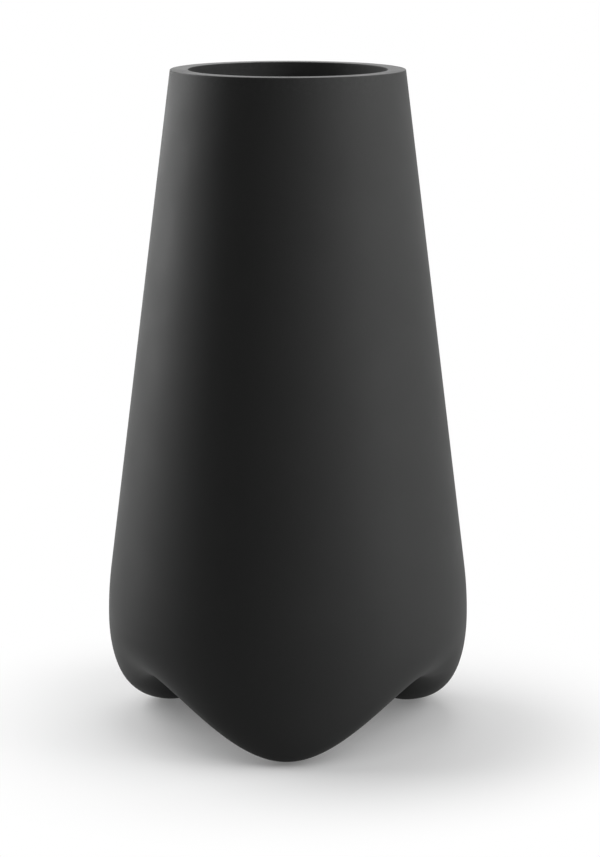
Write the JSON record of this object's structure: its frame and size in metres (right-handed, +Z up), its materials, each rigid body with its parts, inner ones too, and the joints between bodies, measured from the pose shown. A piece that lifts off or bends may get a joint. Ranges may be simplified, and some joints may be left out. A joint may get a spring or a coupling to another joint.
{
  "type": "tall cone planter",
  "caption": "Tall floor planter: a hollow cone-shaped plastic shell on lobed feet, with a flat rim and a lift-out liner on folding handles.",
  "frame": {"origin": "on the floor under the middle of the planter, at the level of the pads' undersides", "axes": "+Z up along the axis of the cone; the front foot points to -Y and +X is to the viewer's right"},
  "size_m": [0.55, 0.55, 1],
  "materials": {
    "shell_plastic": "matte charcoal, smooth moulded",
    "pad_rubber": "matte black rubber",
    "plug_plastic": "satin black, moulded",
    "liner_plastic": "satin black, moulded",
    "grid_plastic": "satin black, moulded",
    "stopper_rubber": "matte black rubber",
    "handle_plastic": "satin black, moulded"
  },
  "bodies": {
    "planter": {"outer_shell": "shell_plastic", "foot_pad_front": "pad_rubber", "foot_pad_rear_right": "pad_rubber", "foot_pad_rear_left": "pad_rubber"},
    "drain": {"drain_plug": "plug_plastic", "drain_seal": "pad_rubber"},
    "insert": {"liner": "liner_plastic"},
    "grid": {"liner_grid": "grid_plastic"},
    "stopper": {"liner_plug": "stopper_rubber"},
    "front_handle": {"handle_front": "handle_plastic"},
    "rear_handle": {"handle_rear": "handle_plastic"}
  },
  "joints": [
    {"name": "liner_lift", "type": "slide", "parent": "planter", "child": "insert", "axis": [0, 0, 1], "range_m": [0, 0.5]},
    {"name": "handle_front_fold", "type": "hinge", "parent": "insert", "child": "front_handle", "pos_m": [0, -0.008, 0.9608], "axis": [-1, 0, 0], "range_deg": [0, 90]},
    {"name": "handle_rear_fold", "type": "hinge", "parent": "insert", "child": "rear_handle", "pos_m": [0, 0.008, 0.9608], "axis": [1, 0, 0], "range_deg": [0, 90]},
    {"name": "grid_lift", "type": "slide", "parent": "insert", "child": "grid", "axis": [0, 0, 1], "range_m": [0, 0.25]},
    {"name": "liner_plug_pull", "type": "slide", "parent": "insert", "child": "stopper", "axis": [0, 0, -1], "range_m": [0, 0.03]},
    {"name": "drain_plug_pull", "type": "slide", "parent": "planter", "child": "drain", "axis": [0, 0, -1], "range_m": [0, 0.05]}
  ]
}
